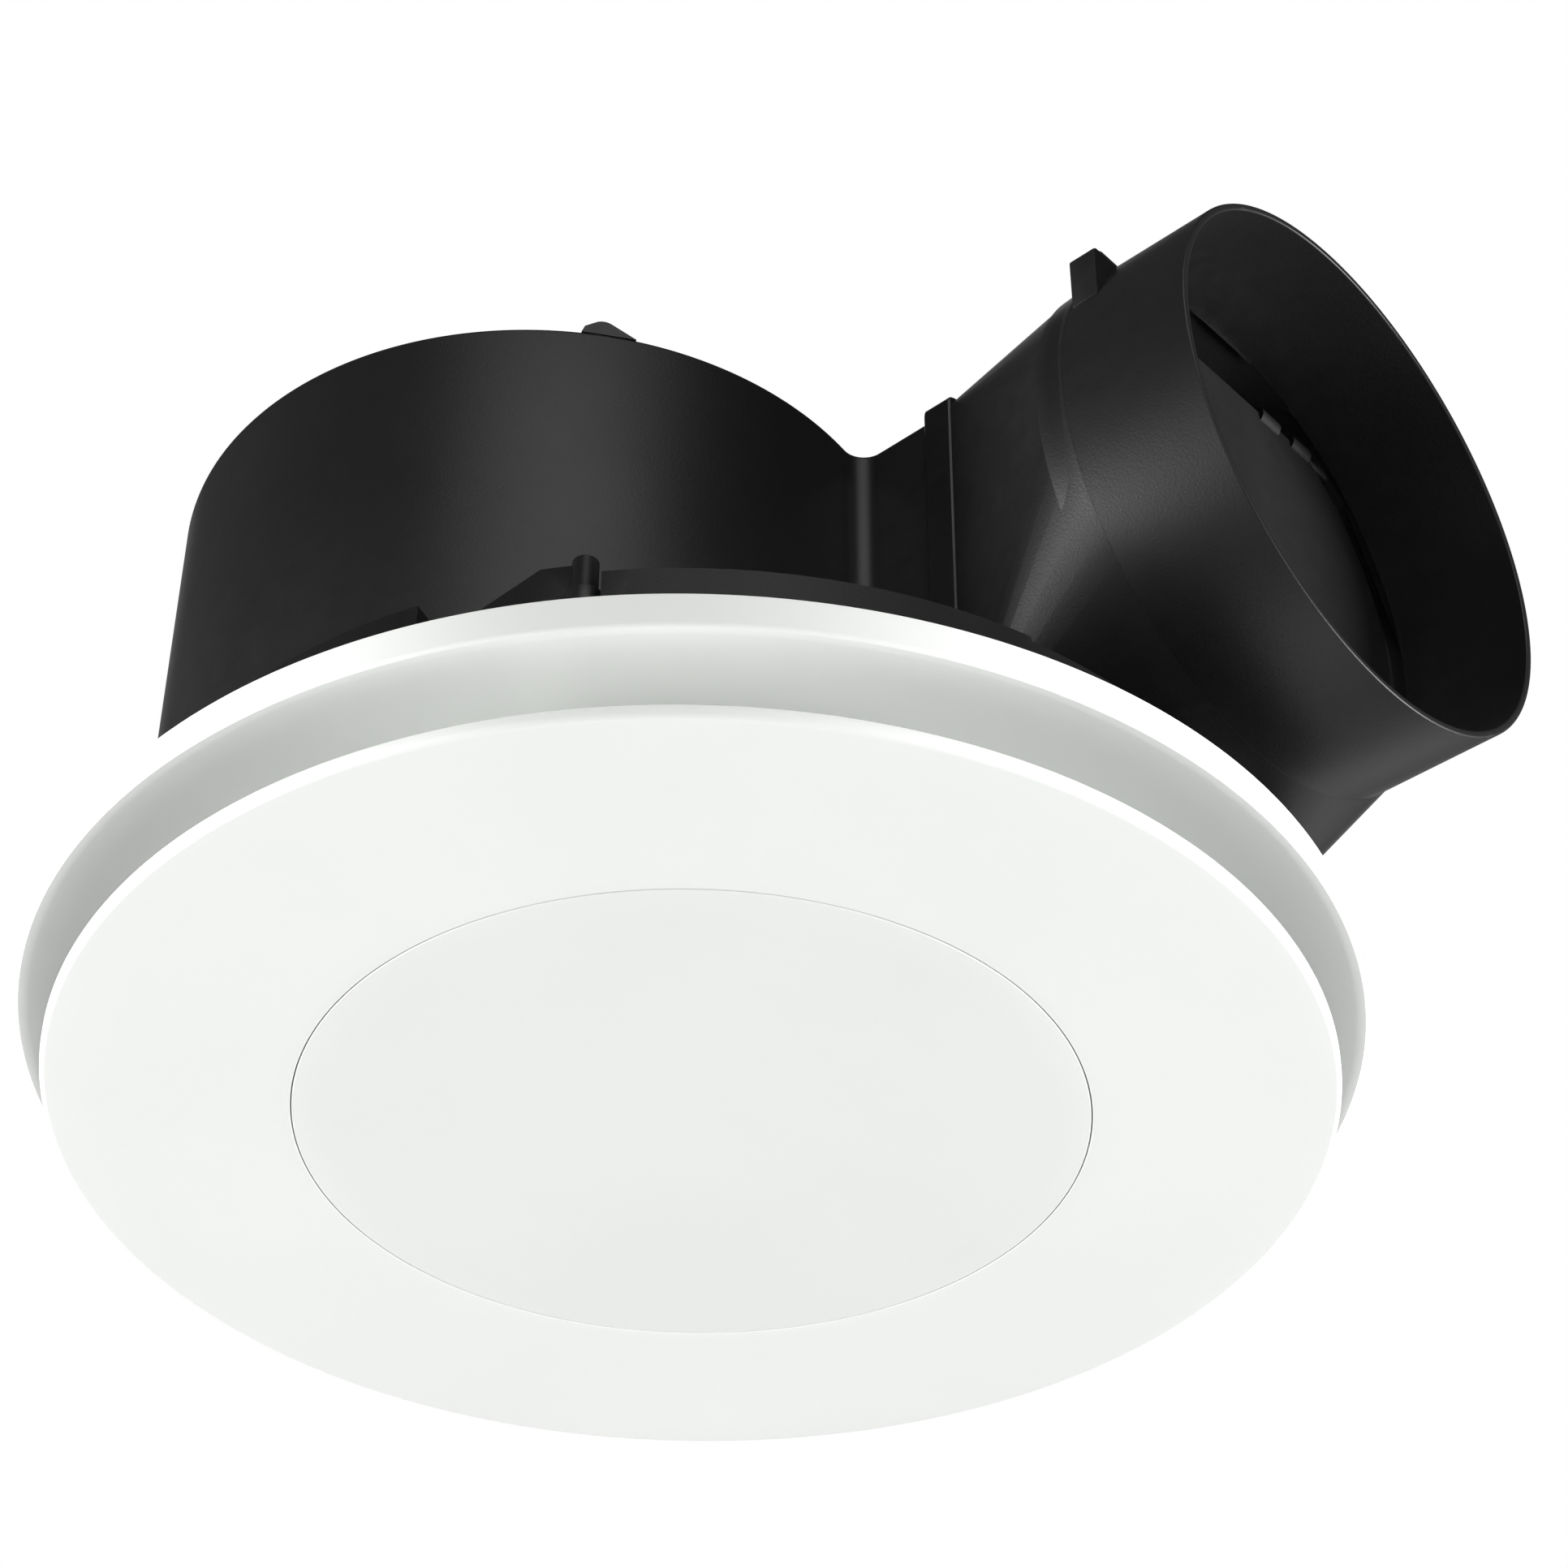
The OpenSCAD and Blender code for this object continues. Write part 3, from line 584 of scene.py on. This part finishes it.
skin = combine(hull_skin("adaptor_shell", 0.0), hull_skin("adaptor_inside", SKIN), "DIFFERENCE")
sleeve = loft("sleeve", [rounded_rectangle(SLEEVE_D, SLEEVE_OUT - 0.45, 3.0),
                         rounded_rectangle(SLEEVE_D + 0.5, SLEEVE_OUT, 3.2),
                         rounded_rectangle(SLEEVE_END - 0.5, SLEEVE_OUT, 3.2),
                         rounded_rectangle(SLEEVE_END, SLEEVE_OUT - 0.45, 3.0)])
# first the socket that takes the outlet, then the airway through the stop at its end
for start, end, grow in ((SLEEVE_D - 1, STUB_END + 0.5, SLEEVE_GAP), (SLEEVE_D, SLEEVE_END + 1, -1.5)):
    opening = loft("opening", [rounded_rectangle(d, grow, 0.4) for d in (start, end)])
    sleeve = combine(sleeve, opening, "DIFFERENCE")
LIP = 0.55
spigot = tube_lathe("spigot", [(182, SPIGOT_R - 0.9), (LOFT_END - 0.3, SPIGOT_R - 0.3),
                               (LOFT_END - 0.3, SPIGOT_R)]
                    + [(MOUTH_D - LIP + x, SPIGOT_R - LIP + y) for x, y in arc(0, 0, LIP, 90, 0, 5)]
                    + [(MOUTH_D - LIP + x, SPIGOT_R - SPIGOT_WALL + LIP + y)
                       for x, y in arc(0, 0, LIP, 0, -90, 5)]
                    + [(182, SPIGOT_R - SPIGOT_WALL)])

# ring that the closed flap rests on, open at the top where the hinge knuckles are
HINGE_D = MOUTH_D - HINGE_BACK
SEAT_R = 63.5
SEAT_OUT = 73.4
seat = tube_lathe("flap_seat", [(HINGE_D - 2.8, SEAT_OUT), (HINGE_D - 0.4, SEAT_OUT),
                                (HINGE_D - 0.4, SEAT_R + 0.4), (HINGE_D - 0.8, SEAT_R),
                                (HINGE_D - 2.8, SEAT_R)], 192)
knuckle_gap = []
for d in (HINGE_D - 4, HINGE_D + 1):
    knuckle_gap.append([duct(d, SPIGOT_N + across, SPIGOT_Z + rise) for across, rise in
                        ((-90, HINGE_UP - 6), (90, HINGE_UP - 6), (90, 90), (-90, 90))])
seat = combine(seat, loft("gap", knuckle_gap), "DIFFERENCE")

# bosses for the hinge pin, and the wedge lugs that stop a pushed-on duct
extras = []
for side in (-1, 1):
    rings = []
    for n in (SPIGOT_N + side * 47, SPIGOT_N + side * 56):
        rings.append([duct(HINGE_D + x, n, SPIGOT_Z + HINGE_UP + y)
                      for x, y in arc(0, 0, PIN_BOSS_R, 0, 360, 40)[:-1]])
    boss = loft("pin_boss", rings)
    lug = []
    for d in (192.0, 200.0):
        lug.append([duct(d, SPIGOT_N + side * n, z) for n, z in
                    ((70.2, 126.5), (70.4, 142.6), (69.4, 143.6), (60.6, 143.6), (66.0, 126.5))])
    lug = soften(loft("stop_lug", lug), 0.5)
    extras += [boss, lug]
inner = tube_lathe("inner", [(170, 0.01), (170, SPIGOT_R - 0.7), (215, SPIGOT_R - 0.7), (215, 0.01)], 128)
extras = combine(join(*extras), inner, "DIFFERENCE")
adaptor = join(skin, sleeve, spigot, seat, extras)
stands_for(adaptor, "duct_adaptor", "black_plastic")

# %% [markdown]
# ## Ceiling ring
#
# The white ring covers the cut edge of the ceiling. It is a shallow inverted dish with a short upright
# outer wall: the eye sees its crest, then a soft hollow that runs in under the disc. It is moulded in one
# piece, so its outer edge has a small radius. A fine turned profile keeps its large smooth reflections
# clean.

# %%
RING_R = 170.0
RING_H = 9.4
DISH_IN = 131.0
DISH_OUT = RING_R - 1.6
DISH_Z = 4.4


def dish(r):
    """Height of the ring's underside at radius r."""
    return -DISH_Z - (RING_H + 0.2 - DISH_Z) * ((r - DISH_IN) / (DISH_OUT - DISH_IN)) ** 2


profile = [(167.5, 0.0), (169.7, 0.0), (RING_R, -0.3)]
profile += arc(RING_R - 1.2, -RING_H + 1.0, 1.2, 0, -62, 7)
profile += [(r, dish(r)) for r in [167.6 - k * (167.6 - DISH_IN) / 40 for k in range(41)]]
profile += [(116.0, -DISH_Z), (115.4, -DISH_Z + 0.2), (115.0, -DISH_Z + 0.6), (115.0, -DISH_Z + 2.0)]
profile += [(r, dish(r) + 2) for r in [DISH_IN + k * (167 - DISH_IN) / 24 for k in range(25)]]
profile += [(167.5, -5.0)]
ring = lathe("ceiling_ring_shell", profile, 320)
POSTS = [15, 135, -105]
for az in POSTS:
    centre = (122 * math.cos(math.radians(az)), 122 * math.sin(math.radians(az)))
    ring = combine(ring, cylinder("post_hole", 4.02, -10, 2, centre, 48), "DIFFERENCE")
stands_for(ring, "ceiling_ring", "white_plastic")

# %% [markdown]
# ## Fascia disc and light diffuser
#
# The disc hangs below the ring on three posts, so that air goes in round its edge and the motor is
# hidden. The opal diffuser clips into it from behind and sits flush, with a hair-line seam between the
# two. Both are turned profiles with small radii, so that light runs softly over their edges.

# %%
DISC_R = 161.8
DROP = 28.4
LIGHT_R = 99.9
profile = [(LIGHT_R + 0.3, -DROP + 3.6), (LIGHT_R + 0.3, -DROP + 0.35)]
profile += [(LIGHT_R + 0.65 + x, -DROP + 0.35 + y) for x, y in arc(0, 0, 0.35, 180, 270, 4)][1:]
profile += [(r, -DROP) for r in (104.0, 112.0, 130.0, 150.0)]
profile += arc(DISC_R - 1.6, -DROP + 1.6, 1.6, -90, 0, 9)
profile += [(DISC_R, -DROP + 3.1), (DISC_R - 0.15, -DROP + 3.45), (DISC_R - 0.5, -DROP + 3.6)]
disc = lathe("fascia_disc_shell", profile, 320)
stands_for(disc, "fascia_disc", "white_plastic")

top = -DROP + 4.6
profile = [(0.0, -DROP), (30.0, -DROP), (60.0, -DROP), (90.0, -DROP)]
profile += [(LIGHT_R - 0.3 + x, -DROP + 0.3 + y) for x, y in arc(0, 0, 0.3, 270, 360, 4)]
profile += [(LIGHT_R, top - 1.0), (LIGHT_R + 1.0, top - 1.0), (LIGHT_R + 1.0, top), (LIGHT_R - 2, top)]
profile += [(LIGHT_R - 2, -DROP + 2), (60.0, -DROP + 2), (0.0, -DROP + 2)]
diffuser = lathe("light_diffuser_shell", profile, 320)
stands_for(diffuser, "light_diffuser", "opal_diffuser")

# %% [markdown]
# ## Base tray and swing clamps
#
# The collar that goes through the ceiling and the three folded clamp wings are plain mouldings, and their
# engineering shapes are already right. Welded copies of them are given small radii, so that each edge
# catches the light as a moulded edge does.

# %%
tray = soften(cad_copy("base_tray", "base_tray_shell"), 0.45)
stands_for(tray, "base_tray", "black_plastic")
for k in (1, 2, 3):
    wing = soften(cad_copy(f"clamp_wing_{k}", f"clamp_wing_shell_{k}"), 0.3)
    stands_for(wing, f"clamp_wing_{k}", "black_plastic")
    screw = soften(cad_copy(f"clamp_screw_{k}", f"clamp_screw_shell_{k}"), 0.15)
    stands_for(screw, f"clamp_screw_{k}", "steel")
for node, slot in (("terminal_box", "black_plastic"), ("terminal_cover", "black_plastic"),
                   ("cable_gland", "black_plastic")):
    piece = soften(cad_copy(node, node + "_shell"), 0.5)
    stands_for(piece, node, slot)

# %% [markdown]
# ## Screws, set by one node tree
#
# Six sets of small pan-head screws hold the fan together. One screw is turned, with a cross recess, and a
# node tree puts a copy on each point of a group, each turned by its own angle as a driver would leave it.

# %%
def geometry_tree(name, inputs):
    """Empty geometry tree. inputs are (name, socket type)."""
    tree = bpy.data.node_groups.new(name, "GeometryNodeTree")
    tree.interface.new_socket(name="Geometry", in_out="INPUT", socket_type="NodeSocketGeometry")
    for label, kind in inputs:
        tree.interface.new_socket(name=label, in_out="INPUT", socket_type=kind)
    tree.interface.new_socket(name="Geometry", in_out="OUTPUT", socket_type="NodeSocketGeometry")
    return tree, tree.nodes.new("NodeGroupInput"), tree.nodes.new("NodeGroupOutput")


def set_input(tree, mod, label, value):
    """Set a modifier's input by its socket's identifier."""
    for item in tree.interface.items_tree:
        if item.item_type == "SOCKET" and item.in_out == "INPUT" and item.name == label:
            mod[item.identifier] = value


def end_tree(tree, instances, given, out):
    """Close a tree: real geometry, one material, output."""
    real = tree.nodes.new("GeometryNodeRealizeInstances")
    paint = tree.nodes.new("GeometryNodeSetMaterial")
    tree.links.new(instances, real.inputs["Geometry"])
    tree.links.new(real.outputs["Geometry"], paint.inputs["Geometry"])
    tree.links.new(given.outputs["Finish"], paint.inputs["Material"])
    tree.links.new(paint.outputs["Geometry"], out.inputs["Geometry"])


SCREWS, given, out = geometry_tree("Screws on points", [
    ("Screw", "NodeSocketObject"), ("Seed", "NodeSocketInt"), ("Finish", "NodeSocketMaterial")])
source = SCREWS.nodes.new("GeometryNodeObjectInfo")
SCREWS.links.new(given.outputs["Screw"], source.inputs["Object"])
turn = SCREWS.nodes.new("FunctionNodeRandomValue")
turn.data_type = "FLOAT"
turn.inputs[3].default_value = 2 * math.pi
SCREWS.links.new(given.outputs["Seed"], turn.inputs["Seed"])
spin = SCREWS.nodes.new("ShaderNodeCombineXYZ")
SCREWS.links.new(turn.outputs[1], spin.inputs["Z"])
put = SCREWS.nodes.new("GeometryNodeInstanceOnPoints")
SCREWS.links.new(given.outputs["Geometry"], put.inputs["Points"])
SCREWS.links.new(source.outputs["Geometry"], put.inputs["Instance"])
SCREWS.links.new(spin.outputs["Vector"], put.inputs["Rotation"])
end_tree(SCREWS, put.outputs["Instances"], given, out)


def make_screw(r, length, head_up):
    """One pan-head screw with a cross recess. Its head sits on z = 0; head_up points the head upwards."""
    s = 1 if head_up else -1
    head = [(0.0, 1.6 * r), (r, 1.58 * r), (1.7 * r, 1.1 * r), (2 * r, 0.6 * r), (2 * r, 0.0), (r, 0.0),
            (r, -length + 0.5), (r - 0.4, -length), (0.0, -length)]
    screw = lathe("screw", [(x, s * z) for x, z in head], 40)
    for w, l in ((0.5, 1.15 * r), (1.15 * r, 0.5)):
        cut = loft("cross", [[(-w, -l, z), (w, -l, z), (w, l, z), (-w, l, z)]
                             for z in sorted((s * 0.75 * r, s * 2 * r))])
        screw = combine(screw, cut, "DIFFERENCE")
    return screw


BODY_SCREWS = [
    ("housing_screws", [(1.6, 16.5, True, [on_axis(r, a, DECK + 9) for r, a in FEET])]),
    ("motor_screws", [(1.6, 8, False, [on_axis(47, a, 122) for a in (0, 120, 240)]),
                      (1.6, 11, True, [on_axis(34, a, CAN_TOP) for a in (30, 150, 270)])]),
    ("bellmouth_screws", [(1.5, 4, False, [on_axis(76.5, a, 21) for a in (60, 180, 300)])]),
    ("adaptor_screws", [(1.4, 5, True, [duct(128, n, CAN_TOP + WALL + 0.15) for n in (60, 105)])]),
    ("cover_screws", [(1.5, 8, True, [duct(d, 157, 62) for d in (10, 64)])]),
    ("light_screws", [(1.5, 3.5, True, [round_origin(108, 30 + 60 * k, -DROP + 5.1) for k in range(6)]),
                      (1.5, 5, False, [round_origin(70, 30 + 120 * k, -15) for k in range(3)])]),
]
for seed, (node, groups) in enumerate(BODY_SCREWS):
    made = []
    for r, length, head_up, points in groups:
        screw = make_screw(r, length, head_up)
        holder = new_object("points", points, [])
        mod = holder.modifiers.new("screws", "NODES")
        mod.node_group = SCREWS
        set_input(SCREWS, mod, "Screw", screw)
        set_input(SCREWS, mod, "Seed", 11 + seed)
        set_input(SCREWS, mod, "Finish", FINISHES["steel"])
        made.append(bake(holder))
        bpy.data.objects.remove(screw)
    piece = join(*made)
    piece.name = node + "_set"
    piece.data.name = piece.name
    stands_for(piece, node, "steel")

# %% [markdown]
# ## Impeller
#
# A centrifugal fan moves air with many short forward-curved blades between two rings. The real one is
# moulded with its back plate in one shot. One blade is drawn as a thin curved plate, and a second node
# tree turns copies of it round the axis. The rings, web and hub are turned profiles.

# %%
CAGE_R = 80.0
CAGE_IN = 63.0
CAGE_Z0 = 38.0
CAGE_Z1 = 118.0
HUB_Z = 90.0
BLADES = 36
BLADE_ARC = 14.0
BLADE_T = 1.1

TURNED, given, out = geometry_tree("Turned copies", [
    ("Piece", "NodeSocketObject"), ("Count", "NodeSocketInt"), ("Finish", "NodeSocketMaterial")])
source = TURNED.nodes.new("GeometryNodeObjectInfo")
TURNED.links.new(given.outputs["Piece"], source.inputs["Object"])
points = TURNED.nodes.new("GeometryNodePoints")
TURNED.links.new(given.outputs["Count"], points.inputs["Count"])
step = maths(TURNED, "DIVIDE", 2 * math.pi, given.outputs["Count"])
index = TURNED.nodes.new("GeometryNodeInputIndex")
spin = TURNED.nodes.new("ShaderNodeCombineXYZ")
TURNED.links.new(maths(TURNED, "MULTIPLY", index.outputs["Index"], step), spin.inputs["Z"])
put = TURNED.nodes.new("GeometryNodeInstanceOnPoints")
TURNED.links.new(points.outputs[0], put.inputs["Points"])
TURNED.links.new(source.outputs["Geometry"], put.inputs["Instance"])
TURNED.links.new(spin.outputs["Vector"], put.inputs["Rotation"])
end_tree(TURNED, put.outputs["Instances"], given, out)

middle = (CAGE_IN + CAGE_R) / 2
section = arc(middle, -12, BLADE_ARC, 128, 52, 19) + arc(middle, -12, BLADE_ARC - BLADE_T, 52, 128, 19)
blade = loft("blade", [[(x, y, z) for x, y in section] for z in (CAGE_Z0 + 0.5, CAGE_Z1 - 0.5)])
cage = new_object("impeller_cage", [(0, 0, 0)], [])
mod = cage.modifiers.new("blades", "NODES")
mod.node_group = TURNED
set_input(TURNED, mod, "Piece", blade)
set_input(TURNED, mod, "Count", BLADES)
set_input(TURNED, mod, "Finish", FINISHES["grey_plastic"])
bake(cage)
bpy.data.objects.remove(blade)
cage.data.transform(Matrix.Translation((AXIS[0] * 0.001, AXIS[1] * 0.001, 0)))

PLATE = 2.0
DRUM_R = 51.0
HUB_R = 11.0
BORE_R = 4.0
HUB_BOTTOM = 82.0
lower = lathe("lower_ring", [(CAGE_IN, CAGE_Z0), (CAGE_R, CAGE_Z0), (CAGE_R, CAGE_Z0 + PLATE),
                             (CAGE_IN, CAGE_Z0 + PLATE)], 192, AXIS)
upper = lathe("upper_ring", [(DRUM_R - PLATE, CAGE_Z1), (DRUM_R - PLATE, HUB_Z + PLATE),
                             (HUB_R, HUB_Z + PLATE), (HUB_R, HUB_Z + 3), (BORE_R, HUB_Z + 3),
                             (BORE_R, HUB_BOTTOM), (HUB_R, HUB_BOTTOM), (HUB_R, HUB_Z), (DRUM_R, HUB_Z),
                             (DRUM_R, CAGE_Z1 - PLATE), (CAGE_R, CAGE_Z1 - PLATE), (CAGE_R, CAGE_Z1)],
              192, AXIS)
cage = join(cage, soften(lower, 0.3), soften(upper, 0.3))
stands_for(cage, "impeller", "grey_plastic")

# %% [markdown]
# ## Camera
#
# The fan is seen from below and in front, looking up at 38.8 degrees with a long lens, so that the
# underside of the disc, the side of the can and the mouth of the spigot all show. The camera's axes are
# written out, so the view can be checked by hand.

# %%
LOOK_UP = math.radians(38.82)
ROLL = 0.0053
forward = Vector((0, math.cos(LOOK_UP), math.sin(LOOK_UP)))
up = Vector((0, -math.sin(LOOK_UP), math.cos(LOOK_UP)))
right = Vector((1, 0, 0))
axis_x = right * math.cos(ROLL) + up * math.sin(ROLL)
axis_y = -right * math.sin(ROLL) + up * math.cos(ROLL)
lens = bpy.data.cameras.new("camera")
lens.lens = 82.27
lens.sensor_width = 36
lens.clip_start = 0.05
camera = bpy.data.objects.new("camera", lens)
camera.matrix_world = Matrix((
    (axis_x.x, axis_y.x, -forward.x, 0.0226),
    (axis_x.y, axis_y.y, -forward.y, -0.7541),
    (axis_x.z, axis_y.z, -forward.z, -0.5235),
    (0, 0, 0, 1)))
bpy.context.scene.collection.objects.link(camera)
bpy.context.scene.camera = camera
print("camera at", [round(v, 3) for v in camera.location])

# %% [markdown]
# ## Studio
#
# A product of this kind is shown on white with large soft lights. The surroundings are white where the
# camera looks and below, and nearly dark above, so that the black casing stays dark and the white disc
# bright. A bright panel above the viewer gives the can its soft upright highlight. Two wide side lights
# brighten the ring's rim, and a small one below fills the disc. The floor is far below.

# %%
FLOOR_HALF = 6000
FLOOR_Z = -2400
corners = [(x * FLOOR_HALF, y * FLOOR_HALF, FLOOR_Z) for x, y in ((-1, -1), (1, -1), (1, 1), (-1, 1))]
floor = new_object("floor", corners, [(0, 1, 2, 3)])
floor_paint = bpy.data.materials.new("floor")
floor_paint.use_nodes = True
floor_paint.node_tree.nodes["Principled BSDF"].inputs["Base Color"].default_value = (0.8, 0.8, 0.8, 1)
floor.data.materials.append(floor_paint)

world = bpy.data.worlds.new("studio")
bpy.context.scene.world = world
world.use_nodes = True
tree = world.node_tree
back = tree.nodes["Background"]
direction = tree.nodes.new("ShaderNodeTexCoord").outputs["Generated"]
ahead = tree.nodes.new("ShaderNodeVectorMath")
ahead.operation = "DOT_PRODUCT"
ahead.inputs[1].default_value = forward
tree.links.new(direction, ahead.inputs[0])
behind = tree.nodes.new("ShaderNodeMapRange")
behind.interpolation_type = "SMOOTHSTEP"
behind.inputs["From Min"].default_value = 0.925
behind.inputs["From Max"].default_value = 0.955
tree.links.new(ahead.outputs["Value"], behind.inputs["Value"])
split = tree.nodes.new("ShaderNodeSeparateXYZ")
tree.links.new(direction, split.inputs["Vector"])
below = tree.nodes.new("ShaderNodeMapRange")
below.interpolation_type = "SMOOTHSTEP"
below.inputs["From Min"].default_value = 0.3
below.inputs["From Max"].default_value = -0.2
below.inputs["To Min"].default_value = 0.035
below.inputs["To Max"].default_value = 1.0
tree.links.new(split.outputs["Z"], below.inputs["Value"])
level = maths(tree, "MAXIMUM", behind.outputs["Result"], below.outputs["Result"])
over = tree.nodes.new("ShaderNodeVectorMath")
over.operation = "DOT_PRODUCT"
over.inputs[1].default_value = (0.1, -0.77, 0.63)
tree.links.new(direction, over.inputs[0])
panel = tree.nodes.new("ShaderNodeMapRange")
panel.interpolation_type = "SMOOTHSTEP"
panel.inputs["From Min"].default_value = 0.87
panel.inputs["From Max"].default_value = 0.97
panel.inputs["To Max"].default_value = 1.9
tree.links.new(over.outputs["Value"], panel.inputs["Value"])
level = maths(tree, "MAXIMUM", level, panel.outputs["Result"])
tree.links.new(level, back.inputs["Strength"])
back.inputs["Color"].default_value = (1, 1, 1, 1)


def soft_light(name, place, aim, width, height, power):
    """Area light at place, looking at aim. Metres and watts."""
    data = bpy.data.lights.new(name, "AREA")
    data.shape = "RECTANGLE"
    data.size = width
    data.size_y = height
    data.energy = power
    obj = bpy.data.objects.new(name, data)
    obj.location = place
    obj.rotation_euler = (Vector(aim) - Vector(place)).to_track_quat("-Z", "Y").to_euler()
    bpy.context.scene.collection.objects.link(obj)
    return obj


soft_light("under", (0.1, 0.1, -1.8), (0, 0, 0), 1.6, 1.2, 4)
soft_light("left", (-1.8, -0.1, -0.3), (0, 0, 0), 1.0, 0.8, 56)
soft_light("right", (1.8, -0.2, -0.3), (0, 0, 0), 1.0, 0.8, 56)
bpy.context.scene.view_settings.view_transform = "Standard"
bpy.context.scene.view_settings.look = "None"
print("lights ready")
